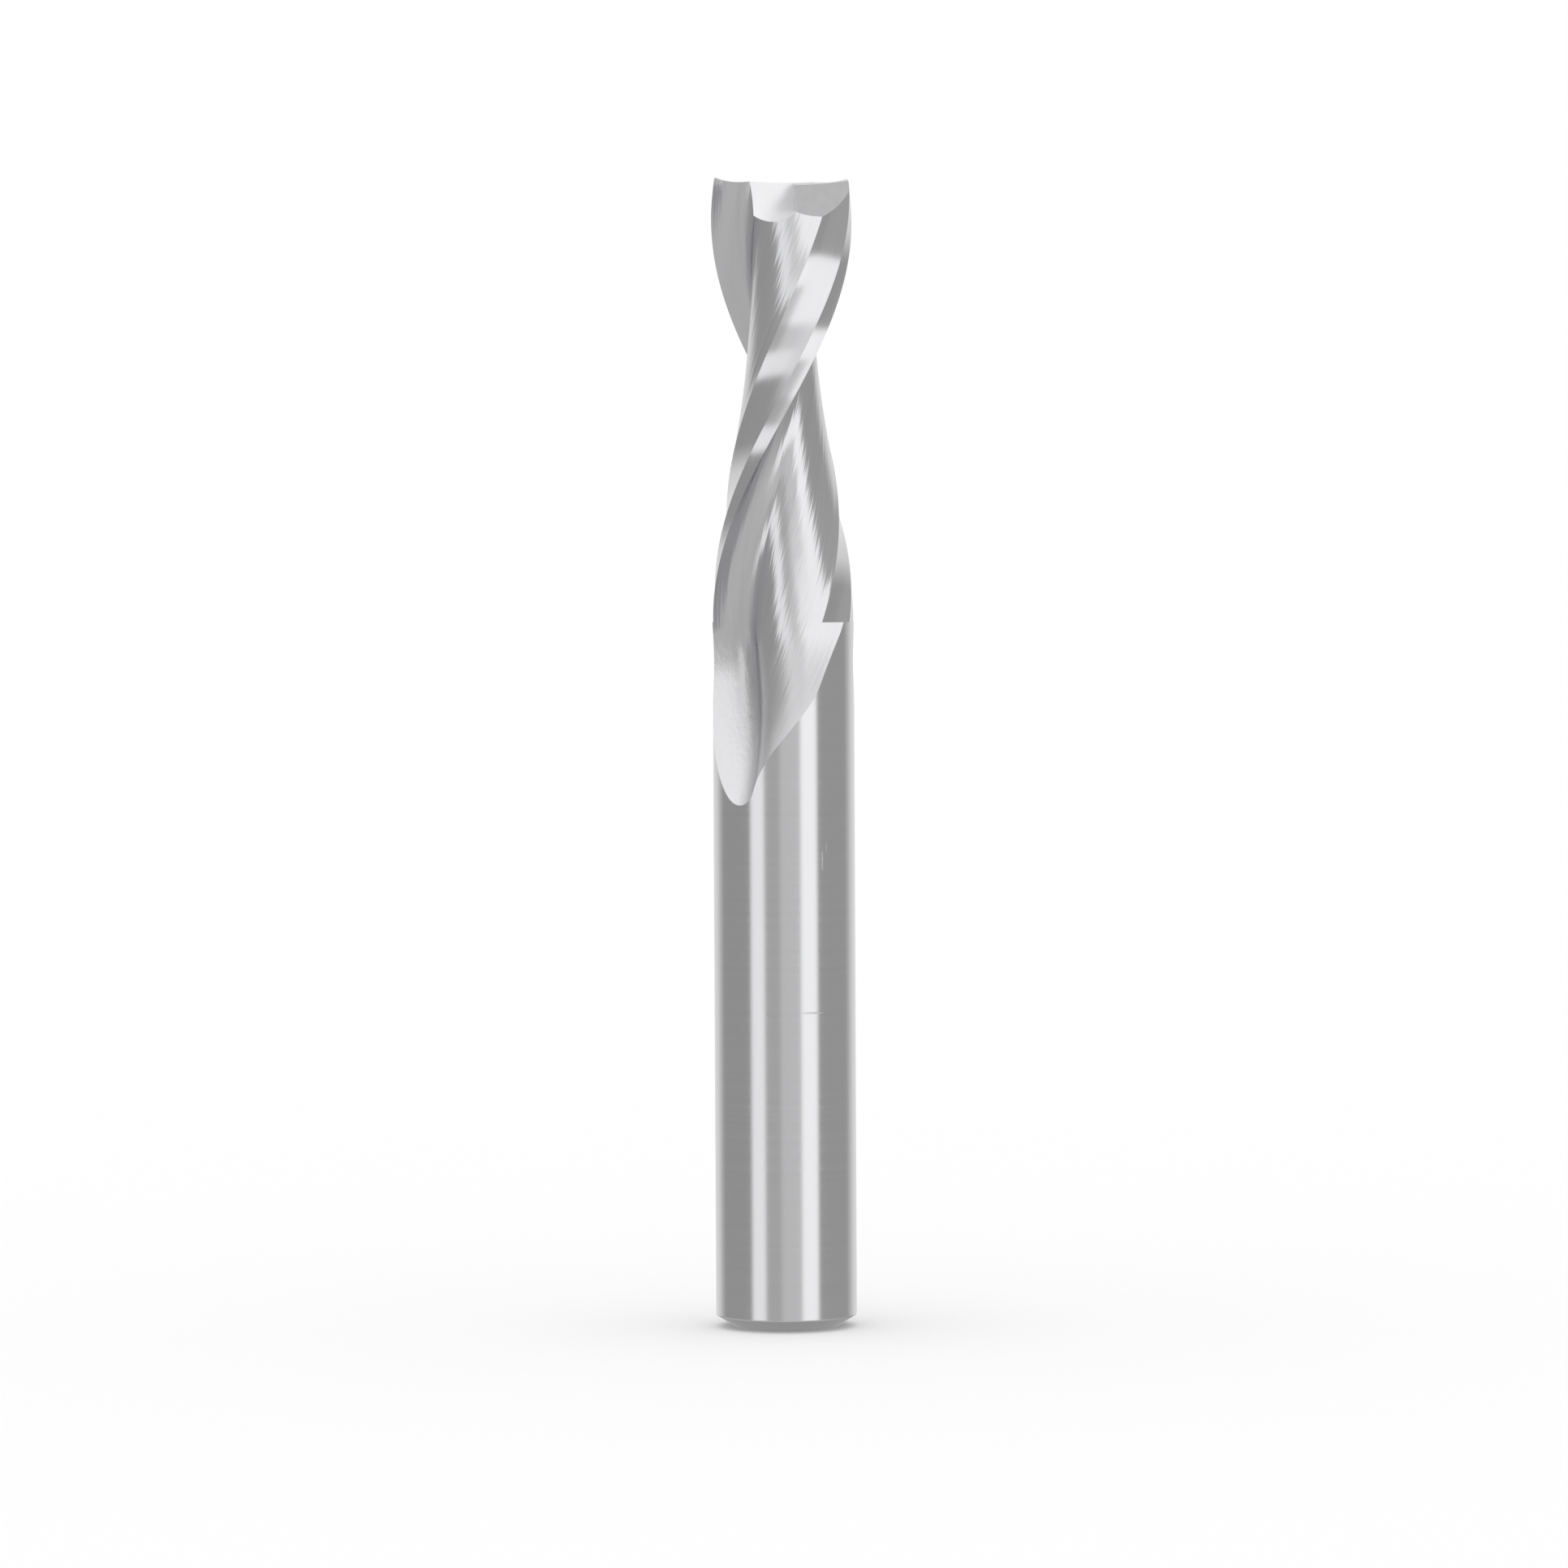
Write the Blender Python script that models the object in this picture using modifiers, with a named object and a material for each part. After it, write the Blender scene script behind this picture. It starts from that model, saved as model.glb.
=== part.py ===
"""A two-flute spiral router bit with a fishtail end, ground from one round rod.

The bit stands on its shank end, tip up. Its origin is the centre of that end, and +Z runs along
its axis to the tip. As the real tool is ground, one turned rod is cut in turn by the grinding
steps: two helical flutes that lift out of the shank, two helical reliefs behind the edges, the
dished end reliefs, and a gash that opens each end edge to the centre. Sections are drawn in the
frame of one tooth: x runs out to its cutting edge, and the bit turns towards +y when it cuts.
"""

from math import acos, atan2, cos, pi, radians, sin, sqrt, tan

import bmesh
import bpy
from mathutils import Matrix, Vector

MM = 0.001

# The rod
ROD_DIAMETER = 9.525 * MM
OVERALL_LENGTH = 77.5 * MM
CHAMFER_HEIGHT = 0.8 * MM
CHAMFER_INSET = 1.3 * MM

# The helix: right-hand, with the first edge facing this way at the tip
FLUTE_COUNT = 2
HELIX_ANGLE = radians(29.3)
TIP_TURN = radians(20)
CUTTING_LENGTH = 30.3 * MM
FLUTE_RUN_ON = 0.35 * MM

# The flute's section: a hooked rake face, a tight floor and the round back of the tooth ahead, which
# turns more tightly on its way down to the floor. Its sizes are shares of the rod's radius.
RAKE_ANGLE = radians(23.6)
RAKE_SHARE = 1.05
FLOOR_SHARE = 0.378
INNER_SHARE = 0.609
INNER_DIRECTION = radians(61)
BACK_SHARE = 0.802
BACK_OFFSET_SHARE = 0.3465
BACK_DIRECTION = radians(214.8)
FLUTE_SPAN = radians(150)

# Where the flute lifts out of the rod: the wheel's radius, and the way it leaves
WHEEL_RADIUS = 18.3 * MM
LIFT_DIRECTION = radians(74)
DRIFT_ANGLE = radians(11.5)
TWIST_EASE = 3.5 * MM

# The reliefs behind each edge
EDGE_GRIND = 0.04 * MM
LAND_WIDTH = 1.03 * MM
LAND_RELIEF = radians(13.5)
HEEL_RELIEF = radians(47)

# The end: dished towards the centre, with a narrow and a steep relief, and a gash for each tooth
SPARE_LENGTH = 0.3 * MM
DISH_DEPTH = 0.5 * MM
END_LAND_WIDTH = 0.8 * MM
END_LAND_RELIEF = radians(12)
END_HEEL_RELIEF = radians(40)
END_OVERLAP = 0.02 * MM
WEB_THICKNESS = 0.15 * MM
GASH_REACH = 0.9 * MM
GASH_DEPTH = 2.7 * MM
GASH_RADIUS = 2.0 * MM
GASH_LOW_POINT = 1.6 * MM
GASH_OPENING = radians(16)

# How finely round shapes are faceted
ROD_FACETS = 96
TWIST_STEP = radians(5)
ARC_STEP = radians(11)
DISH_STEPS = 8
SHARP_ANGLE = radians(20)

# How far a cutter stands clear of the rod
CLEAR = 1.5 * MM


def rod_radius():
    return ROD_DIAMETER / 2


def helix_rate():
    """Turn of the section for each metre along the axis."""
    return tan(HELIX_ANGLE) / rod_radius()


def relief_end():
    """Height where the reliefs stop."""
    return OVERALL_LENGTH - CUTTING_LENGTH


def flute_end():
    """Height where the flutes start to lift, a little past the end of the reliefs."""
    return relief_end() - FLUTE_RUN_ON


def polar(radius, angle):
    return Vector((radius * cos(angle), radius * sin(angle)))


def angle_of(vector):
    return atan2(vector.y, vector.x)


def arc(centre, radius, start, sweep):
    """Points round a centre, from the start angle through the sweep, both ends included."""
    count = max(1, round(abs(sweep) / ARC_STEP))
    return [centre + polar(radius, start + sweep * i / count) for i in range(count + 1)]


def turn_between(start, end, clockwise):
    """The sweep from one angle to another, the way round that is asked for."""
    sweep = (end - start) % (2 * pi)
    return sweep - 2 * pi if clockwise else sweep


def touching_circle(centre_a, reach_a, centre_b, reach_b):
    """The point at given distances from two centres, on the right of the line from a to b."""
    between = centre_b - centre_a
    length = between.length
    along = (reach_a**2 - reach_b**2 + length**2) / (2 * length)
    across = sqrt(reach_a**2 - along**2)
    unit = between / length
    return centre_a + unit * along + Vector((unit.y, -unit.x)) * across


def outer_arc(start, end, clockwise):
    """The side of a cutter that stays outside the rod."""
    radius = rod_radius() + 2 * CLEAR
    return arc(Vector((0, 0)), radius, start, turn_between(start, end, clockwise))


def flute_section():
    """The outline of what the flute wheel takes out, in the frame of the tooth it faces."""
    rake_radius = RAKE_SHARE * rod_radius()
    floor_radius = FLOOR_SHARE * rod_radius()
    inner_radius = INNER_SHARE * rod_radius()
    back_radius = BACK_SHARE * rod_radius()
    edge = Vector((rod_radius(), 0))
    rake_centre = edge + rake_radius * Vector((-sin(RAKE_ANGLE), cos(RAKE_ANGLE)))
    back_centre = polar(BACK_OFFSET_SHARE * rod_radius(), BACK_DIRECTION)
    inner_centre = back_centre + polar(back_radius - inner_radius, INNER_DIRECTION)
    floor_centre = touching_circle(
        inner_centre, inner_radius + floor_radius, rake_centre, rake_radius - floor_radius
    )
    rake_start = angle_of(edge - rake_centre)
    floor_start = angle_of(floor_centre - rake_centre)
    floor_end = angle_of(inner_centre - floor_centre)
    inner_start = angle_of(floor_centre - inner_centre)

    # The back leaves its arc on a straight line to the rod's surface.
    rim = polar(rod_radius(), FLUTE_SPAN)
    to_rim = rim - back_centre
    back_end = angle_of(to_rim) - acos(back_radius / to_rim.length)
    leaving = (to_rim - polar(back_radius, back_end)).normalized()

    rake_turn = turn_between(rake_start, floor_start, True)
    floor_turn = turn_between(floor_start, floor_end, True)
    inner_turn = turn_between(inner_start, INNER_DIRECTION, False)
    back_turn = turn_between(INNER_DIRECTION, back_end, False)
    points = [edge + CLEAR * Vector((cos(RAKE_ANGLE), sin(RAKE_ANGLE)))]
    points += arc(rake_centre, rake_radius, rake_start, rake_turn)
    points += arc(floor_centre, floor_radius, floor_start, floor_turn)[1:]
    points += arc(inner_centre, inner_radius, inner_start, inner_turn)[1:]
    points += arc(back_centre, back_radius, INNER_DIRECTION, back_turn)[1:]
    points.append(rim + CLEAR * leaving)
    return points + outer_arc(angle_of(points[-1]), angle_of(points[0]), True)


def relief_section():
    """The outline of what the relief wheels take off behind an edge: a land, then a steeper heel.

    The heel's flat runs on past the back of the flute behind, where it meets nothing.
    """
    along_land = Vector((-sin(LAND_RELIEF), -cos(LAND_RELIEF)))
    along_heel = Vector((-sin(HEEL_RELIEF), -cos(HEEL_RELIEF)))
    edge = Vector((rod_radius() - EDGE_GRIND, 0))
    land_end = edge + LAND_WIDTH * along_land
    heel_end = land_end + rod_radius() * along_heel
    points = [edge - CLEAR * along_land, land_end, heel_end]
    return points + outer_arc(angle_of(heel_end), angle_of(points[0]), False)


def section_at(height):
    """How a flute's section is turned and shifted at a height: by the helix, then by the lift."""
    below = max(0, flute_end() - height)
    eased = min(below, TWIST_EASE)
    held_back = below - eased + eased**2 / (2 * TWIST_EASE)
    turn = TIP_TURN + helix_rate() * (height + held_back - OVERALL_LENGTH)
    lift = WHEEL_RADIUS - sqrt(WHEEL_RADIUS**2 - below**2)
    shift = polar(lift, LIFT_DIRECTION) + polar(below * tan(DRIFT_ANGLE), LIFT_DIRECTION + pi / 2)
    return turn, shift


def loft(name, rings):
    """A closed mesh object through rings of as many points each."""
    bm = bmesh.new()
    loops = [[bm.verts.new(point) for point in ring] for ring in rings]
    for lower, upper in zip(loops, loops[1:]):
        for i, corner in enumerate(lower):
            before = i - 1
            bm.faces.new((lower[before], corner, upper[i], upper[before]))
    bm.faces.new(loops[0])
    bm.faces.new(loops[-1])
    bmesh.ops.recalc_face_normals(bm, faces=bm.faces)
    mesh = bpy.data.meshes.new(name)
    bm.to_mesh(mesh)
    bm.free()
    return bpy.data.objects.new(name, mesh)


def heights(low, high):
    """Even heights whose sections turn by about TWIST_STEP from one to the next."""
    count = max(1, round((high - low) * helix_rate() / TWIST_STEP))
    return [low + (high - low) * i / count for i in range(count + 1)]


def swept(name, section, levels, tooth):
    """A section carried along the helix for one tooth."""
    rings = []
    for height in levels:
        turn, shift = section_at(height)
        turned = Matrix.Rotation(turn + 2 * pi * tooth / FLUTE_COUNT, 2)
        rings.append([(turned @ (point + shift)).to_3d() + Vector((0, 0, height)) for point in section])
    return loft(name, rings)


def flute_cutter(tooth):
    """A flute: at full depth for its length, then lifting until it clears the rod.

    It has the same levels as the reliefs where both run, so that they meet in even lines.
    """
    lift_length = sqrt(WHEEL_RADIUS**2 - (WHEEL_RADIUS - rod_radius()) ** 2)
    levels = heights(flute_end() - lift_length, flute_end())
    levels += heights(flute_end(), relief_end())[1:]
    levels += heights(relief_end(), OVERALL_LENGTH + CLEAR)[1:]
    return swept(f"flute_{tooth + 1}", flute_section(), levels, tooth)


def relief_cutter(tooth):
    levels = heights(relief_end(), OVERALL_LENGTH + CLEAR)
    return swept(f"relief_{tooth + 1}", relief_section(), levels, tooth)


def placed_at_tip(obj, tooth):
    obj.matrix_world = Matrix.Translation((0, 0, OVERALL_LENGTH)) @ Matrix.Rotation(
        TIP_TURN + 2 * pi * tooth / FLUTE_COUNT, 4, "Z"
    )
    return obj


def dish(x):
    """Height of an end edge at a distance from the axis, from the tip down. It is round like a bowl."""
    return DISH_DEPTH * ((x / rod_radius()) ** 2 - 1)


def end_relief_cutter(tooth):
    """What is ground off above a tooth's end edge: a narrow land, then a steep slope behind it.

    The block is the tooth's own half of the end. It dips to the centre by the dish and reaches a
    little past it, so that no skin is left between the two. Its crest stands just behind the wall
    of the gash.
    """
    reach = rod_radius() + CLEAR
    crest = WEB_THICKNESS / 2 + END_OVERLAP
    land_drop = END_LAND_WIDTH * tan(END_LAND_RELIEF)
    slope_back = reach + crest - END_LAND_WIDTH
    low_side = (
        (reach, 0),
        (crest, 0),
        (crest - END_LAND_WIDTH, -land_drop),
        (-reach, -land_drop - slope_back * tan(END_HEEL_RELIEF)),
    )
    rings = []
    for i in range(DISH_STEPS + 1):
        x = -END_OVERLAP + (reach + END_OVERLAP) * i / DISH_STEPS
        ring = [Vector((x, reach, 2 * CLEAR))]
        ring += [Vector((x, y, z + dish(x))) for y, z in low_side]
        ring.append(Vector((x, -reach, 2 * CLEAR)))
        rings.append(ring)
    return placed_at_tip(loft(f"end_relief_{tooth + 1}", rings), tooth)


def gash_cutter(tooth):
    """The pocket in front of a tooth's end edge, with a round floor and a wall on the edge's side.

    Its side wall stops just past the centre and leans open, and half the web stands between the
    two pockets.
    """
    wall = WEB_THICKNESS / 2
    reach = rod_radius() + CLEAR
    deepest = dish(0) - GASH_DEPTH
    centre = Vector((GASH_LOW_POINT - GASH_REACH, deepest + GASH_RADIUS))
    start = pi + acos(GASH_LOW_POINT / GASH_RADIUS)
    floor = arc(centre, GASH_RADIUS, start, 2 * pi - start)
    outline = [Vector((floor[0].x, CLEAR)), *floor, Vector((floor[-1].x, CLEAR))]
    rings = []
    for y in (wall, reach):
        shift = (y - wall) * tan(GASH_OPENING)
        rings.append([Vector((point.x + shift, y, point.y)) for point in outline])
    return placed_at_tip(loft(f"gash_{tooth + 1}", rings), tooth)


def rod():
    """The blank: a round rod with a chamfer at the shank end, turned about the axis.

    It stands a little over the tip, which the end reliefs grind off.
    """
    radius = rod_radius()
    blank_length = OVERALL_LENGTH + SPARE_LENGTH
    profile = (
        (0, blank_length),
        (radius, blank_length),
        (radius, CHAMFER_HEIGHT),
        (radius - CHAMFER_INSET, 0),
        (0, 0),
    )
    mesh = bpy.data.meshes.new("router_bit")
    mesh.from_pydata([(x, 0, z) for x, z in profile], [(i, i + 1) for i in range(len(profile) - 1)], [])
    obj = bpy.data.objects.new("router_bit", mesh)
    screw = obj.modifiers.new("turned", "SCREW")
    screw.steps = ROD_FACETS
    screw.render_steps = ROD_FACETS
    screw.use_merge_vertices = True
    screw.merge_threshold = 1e-6
    return obj


def bright_carbide():
    material = bpy.data.materials.new("bright_carbide")
    material.use_nodes = True
    shader = material.node_tree.nodes["Principled BSDF"]
    shader.inputs["Base Color"].default_value = (0.56, 0.56, 0.58, 1)
    shader.inputs["Metallic"].default_value = 1
    shader.inputs["Roughness"].default_value = 0.25
    return material


def shade(bit):
    """Keeps the cut shape as the bit's own mesh, smooth but for its ground corners."""
    bpy.context.view_layer.update()
    evaluated = bit.evaluated_get(bpy.context.evaluated_depsgraph_get())
    bit.data = bpy.data.meshes.new_from_object(evaluated)
    bit.modifiers.clear()
    bit.data.shade_smooth()
    bit.data.set_sharp_from_angle(angle=SHARP_ANGLE)


def collection(name):
    made = bpy.data.collections.new(name)
    bpy.context.scene.collection.children.link(made)
    return made


def build():
    for obj in list(bpy.data.objects):
        bpy.data.objects.remove(obj)
    parts = collection("spiral_router_bit")
    cutters = collection("cutters")
    bit = rod()
    bit.data.materials.append(bright_carbide())
    parts.objects.link(bit)
    for make in (flute_cutter, relief_cutter, end_relief_cutter, gash_cutter):
        for tooth in range(FLUTE_COUNT):
            cutter = make(tooth)
            cutter.hide_render = True
            cutter.display_type = "WIRE"
            cutters.objects.link(cutter)
            cut = bit.modifiers.new(cutter.name, "BOOLEAN")
            cut.operation = "DIFFERENCE"
            cut.solver = "EXACT"
            cut.object = cutter
    shade(bit)


build()
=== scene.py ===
"""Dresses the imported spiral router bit: its ground surfaces, their finish, the studio and the camera.

The bit is ground here again to the sizes of its CAD solid, in much finer steps, so that each
ground surface carries a clean reflection. It starts as a turned rod and is cut as the real tool
is: two flutes that lift out of the shank, a relief behind each edge, the dished end, and a gash in
front of each end edge. Sections are drawn in the frame of one tooth: x runs out to its cutting
edge, and the bit turns towards +y when it cuts.
"""

from __future__ import annotations

import logging
from dataclasses import dataclass, field
from enum import Enum
from math import acos, atan2, ceil, cos, floor, pi, radians, sin, sqrt, tan
from typing import Any

import bmesh
import bpy
from mathutils import Matrix, Vector

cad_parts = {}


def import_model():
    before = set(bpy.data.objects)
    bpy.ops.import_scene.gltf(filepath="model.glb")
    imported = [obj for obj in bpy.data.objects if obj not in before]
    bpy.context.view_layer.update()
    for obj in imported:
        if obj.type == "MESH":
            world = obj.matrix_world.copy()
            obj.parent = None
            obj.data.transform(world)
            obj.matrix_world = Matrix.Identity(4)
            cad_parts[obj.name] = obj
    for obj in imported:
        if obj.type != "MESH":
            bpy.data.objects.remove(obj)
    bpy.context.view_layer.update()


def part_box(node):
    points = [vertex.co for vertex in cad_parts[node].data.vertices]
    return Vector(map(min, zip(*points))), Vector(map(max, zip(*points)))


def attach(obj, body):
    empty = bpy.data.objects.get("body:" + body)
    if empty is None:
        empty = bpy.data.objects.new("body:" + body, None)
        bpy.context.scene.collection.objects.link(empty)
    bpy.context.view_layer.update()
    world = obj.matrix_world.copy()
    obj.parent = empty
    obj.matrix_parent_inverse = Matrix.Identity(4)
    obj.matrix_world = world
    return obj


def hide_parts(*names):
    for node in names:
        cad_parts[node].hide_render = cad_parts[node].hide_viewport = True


LOG = logging.getLogger("router_bit")
MM = 0.001
NODE = "router_bit"
BODY = "root"


class Way(Enum):
    """The way round that an arc is drawn."""

    COUNTER = 1
    CLOCKWISE = -1


class Lay(Enum):
    """The direction that the marks of a grinding wheel run in."""

    ROUND_THE_AXIS = "round"
    ALONG_THE_HELIX = "helix"
    ACROSS_THE_END = "end"


class Sees(Enum):
    """The kinds of light ray that a thing in the studio shows itself to."""

    CAMERA = "visible_camera"
    REFLECTION = "visible_glossy"
    DIFFUSE = "visible_diffuse"
    SHADOW = "visible_shadow"


def polar(radius: float, angle: float) -> Vector:
    """The flat point at a radius and an angle."""
    return Vector((radius * cos(angle), radius * sin(angle)))


def angle_of(vector: Vector) -> float:
    """The angle of a flat vector."""
    return atan2(vector.y, vector.x)


class Value:
    """A socket that gives a number, with arithmetic that adds Math nodes to its tree."""

    def __init__(self, nodes: Nodes, socket: bpy.types.NodeSocket) -> None:
        """Keeps the socket and the tree that it belongs to."""
        self.nodes = nodes
        self.socket = socket

    def _maths(self, operation: str, *operands: float | Value) -> Value:
        """One Math node on these operands."""
        return self.nodes.node("ShaderNodeMath", {"operation": operation}, dict(enumerate(operands)))

    def __add__(self, other: float | Value) -> Value:
        """The sum."""
        return self._maths("ADD", self, other)

    def __radd__(self, other: float | Value) -> Value:
        """The sum, with a number first."""
        return self._maths("ADD", other, self)

    def __sub__(self, other: float | Value) -> Value:
        """The difference."""
        return self._maths("SUBTRACT", self, other)

    def __rsub__(self, other: float | Value) -> Value:
        """The difference, with a number first."""
        return self._maths("SUBTRACT", other, self)

    def __mul__(self, other: float | Value) -> Value:
        """The product."""
        return self._maths("MULTIPLY", self, other)

    def __rmul__(self, other: float | Value) -> Value:
        """The product, with a number first."""
        return self._maths("MULTIPLY", other, self)

    def __truediv__(self, other: float | Value) -> Value:
        """The quotient."""
        return self._maths("DIVIDE", self, other)

    def __neg__(self) -> Value:
        """The number with its sign turned."""
        return self._maths("MULTIPLY", self, -1)

    def at_most(self, limit: float | Value) -> Value:
        """The smaller of this and a limit."""
        return self._maths("MINIMUM", self, limit)

    def at_least(self, limit: float | Value) -> Value:
        """The larger of this and a limit."""
        return self._maths("MAXIMUM", self, limit)

    def root(self) -> Value:
        """The square root."""
        return self._maths("SQRT", self)

    def sine(self) -> Value:
        """The sine of this angle."""
        return self._maths("SINE", self)

    def cosine(self) -> Value:
        """The cosine of this angle."""
        return self._maths("COSINE", self)

    def tangent(self) -> Value:
        """The tangent of this angle."""
        return self._maths("TANGENT", self)

    def angle_over(self, other: float | Value) -> Value:
        """The angle whose tangent is this over another number, all the way round."""
        return self._maths("ARCTAN2", self, other)


class Nodes:
    """Adds and links the nodes of one tree."""

    def __init__(self, tree: bpy.types.NodeTree) -> None:
        """Keeps the tree."""
        self.tree = tree

    def node(
        self,
        kind: str,
        settings: dict[str, Any] | None = None,
        inputs: dict[int | str, Any] | None = None,
        output: int | str = 0,
    ) -> Value:
        """Adds a node.

        Args:
            kind: The node's type.
            settings: What is set on it first. "stops" holds a ramp's places and greys.
            inputs: A value or a link for each socket, by its index or name.
            output: The output that is wanted.

        Returns:
            The wanted output.
        """
        made = self.tree.nodes.new(kind)
        for name, setting in (settings or {}).items():
            if name == "stops":
                self._set_stops(made.color_ramp, setting)
            else:
                setattr(made, name, setting)
        for key, value in (inputs or {}).items():
            self.feed(made.inputs[key], value)
        return Value(self, made.outputs[output])

    def feed(self, socket: bpy.types.NodeSocket, value: Any) -> None:
        """Links a value to a socket, or sets a plain number or vector on it."""
        if isinstance(value, Value):
            self.tree.links.new(value.socket, socket)
        else:
            socket.default_value = value

    def vector(self, x: float | Value, y: float | Value, z: float | Value) -> Value:
        """A vector from its three numbers."""
        return self.node("ShaderNodeCombineXYZ", {}, {0: x, 1: y, 2: z})

    def place(self) -> Value:
        """Where a shaded point lies in its object's own frame."""
        return self.node("ShaderNodeTexCoord", {}, {}, "Object")

    def parts(self, vector: Value) -> tuple[Value, Value, Value]:
        """The three numbers of a vector."""
        split = self.node("ShaderNodeSeparateXYZ", {}, {0: vector}).socket.node
        return tuple(Value(self, socket) for socket in split.outputs)

    def turned_about_z(self, vector: Value, angle: float | Value) -> Value:
        """A vector turned about the z axis."""
        settings = {"rotation_type": "Z_AXIS"}
        return self.node("ShaderNodeVectorRotate", settings, {"Vector": vector, "Angle": angle})

    @staticmethod
    def _set_stops(ramp: bpy.types.ColorRamp, stops: list[tuple[float, float]]) -> None:
        """Gives a ramp its stops, each a place and a grey."""
        while len(ramp.elements) < len(stops):
            ramp.elements.new(1)
        for element, (place, grey) in zip(ramp.elements, stops):
            element.position = place
            element.color = (grey, grey, grey, 1)


@dataclass
class Pen:
    """Draws a flat outline from corners and arcs."""

    step: float = radians(2.5)
    same_place: float = 0.0001 * MM
    points: list[Vector] = field(default_factory=list)

    def corner(self, point: Vector) -> None:
        """Draws on to a corner."""
        self.points.append(point)

    def line(self, point: Vector, pieces: int) -> None:
        """Draws on to a point in a number of equal pieces."""
        start = self.points[-1]
        self.points += [start.lerp(point, i / pieces) for i in range(1, pieces + 1)]

    def arc(self, centre: Vector, radius: float, start: float, end: float, way: Way) -> None:
        """Draws on round an arc.

        Args:
            centre: The arc's centre.
            radius: The arc's radius.
            start: The angle that the arc starts at. Its point is left out where the pen is there.
            end: The angle that the arc ends at.
            way: The way round.
        """
        sweep = (end - start) * way.value % (2 * pi)
        count = max(1, round(sweep / self.step))
        made = [centre + polar(radius, start + way.value * sweep * i / count) for i in range(count + 1)]
        if self.points and (made[0] - self.points[-1]).length < self.same_place:
            made = made[1:]
        self.points += made

    def outline(self) -> list[Vector]:
        """The closed outline's points, counter-clockwise."""
        after = self.points[1:] + self.points[:1]
        area = sum(here.cross(there) for here, there in zip(self.points, after))
        return self.points if area > 0 else self.points[::-1]


@dataclass(frozen=True)
class Rod:
    """The round blank that the bit is ground from, with a chamfer at the shank end.

    Both corners of the chamfer are broken by a narrow flat, of which corner_share lies on the
    chamfer. The blank is longer than the bit by the spare length, and each cutter reaches past it
    by the clear length.
    """

    radius: float
    length: float
    chamfer_height: float = 0.8 * MM
    chamfer_inset: float = 1.3 * MM
    corner_width: float = 0.06 * MM
    corner_share: float = 0.3
    spare: float = 0.3 * MM
    clear: float = 1.5 * MM
    facets: int = 360

    @classmethod
    def from_frame(cls) -> Rod:
        """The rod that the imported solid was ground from."""
        low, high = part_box(NODE)
        return cls(radius=(high.x - low.x) / 2, length=high.z)

    def profile(self) -> list[Vector]:
        """The rod's half outline from the shank end's centre up, as points of radius and height."""
        up_the_chamfer = Vector((self.chamfer_inset, self.chamfer_height)).normalized()
        run = up_the_chamfer * (self.corner_width * self.corner_share)
        inner = Vector((self.radius - self.chamfer_inset, 0))
        outer = Vector((self.radius, self.chamfer_height))
        return [
            Vector((0, 0)),
            inner - Vector((self.corner_width, 0)),
            inner + run,
            outer - run,
            outer + Vector((0, self.corner_width)),
            Vector((self.radius, self.length + self.spare)),
            Vector((0, self.length + self.spare)),
        ]

    def mesh(self, name: str) -> bpy.types.Mesh:
        """The rod as a closed mesh, turned about the z axis."""
        bm = bmesh.new()
        rings = []
        for point in self.profile():
            if point.x == 0:
                rings.append([bm.verts.new((0, 0, point.y))])
                continue
            turns = [2 * pi * i / self.facets for i in range(self.facets)]
            rings.append([bm.verts.new((*polar(point.x, turn), point.y)) for turn in turns])
        for lower, upper in zip(rings, rings[1:]):
            for i in range(self.facets):
                after = (i + 1) % self.facets
                corners = [lower[i % len(lower)], lower[after % len(lower)]]
                corners += [upper[after % len(upper)], upper[i % len(upper)]]
                bm.faces.new(list(dict.fromkeys(corners)))
        bmesh.ops.recalc_face_normals(bm, faces=bm.faces)
        mesh = bpy.data.meshes.new(name)
        bm.to_mesh(mesh)
        bm.free()
        return mesh


@dataclass(frozen=True)
class Helix:
    """How a section turns and shifts with height.

    It turns with the helix from the tip down to where the reliefs end, and a flute runs on by
    flute_run_on. From there the wheel lifts out of the rod in the lift direction, drifts to the
    side, and the turn eases off over twist_ease.
    """

    rod: Rod
    angle: float = radians(29.3)
    tip_turn: float = radians(20)
    cutting_length: float = 29.85 * MM
    flute_run_on: float = 0.6 * MM
    wheel_radius: float = 18.3 * MM
    lift_direction: float = radians(74)
    drift_angle: float = radians(11.5)
    twist_ease: float = 3.5 * MM
    level_turn: float = radians(1.5)

    def rate(self) -> float:
        """Turn of the section for each metre along the axis."""
        return tan(self.angle) / self.rod.radius

    def relief_end(self) -> float:
        """Height where the reliefs stop."""
        return self.rod.length - self.cutting_length

    def lift_start(self) -> float:
        """Height where the flutes start to lift."""
        return self.relief_end() - self.flute_run_on

    def lift_end(self) -> float:
        """Height where the wheel has left the rod."""
        left = self.wheel_radius - self.rod.radius
        return self.lift_start() - sqrt(self.wheel_radius**2 - left**2)

    def step(self) -> float:
        """Height between two levels of a cutter."""
        return self.level_turn / self.rate()

    def level_past(self, height: float) -> float:
        """The first level at or past a height, counted both ways from the end of the reliefs.

        All cutters have these levels, so that they meet in even lines.
        """
        steps = (height - self.relief_end()) / self.step()
        return self.relief_end() + self.step() * (ceil(steps) if steps > 0 else floor(steps))

    def levels(self, low: float, high: float) -> int:
        """How many levels there are between two of them, with both."""
        return 1 + round((high - low) / self.step())


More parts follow.
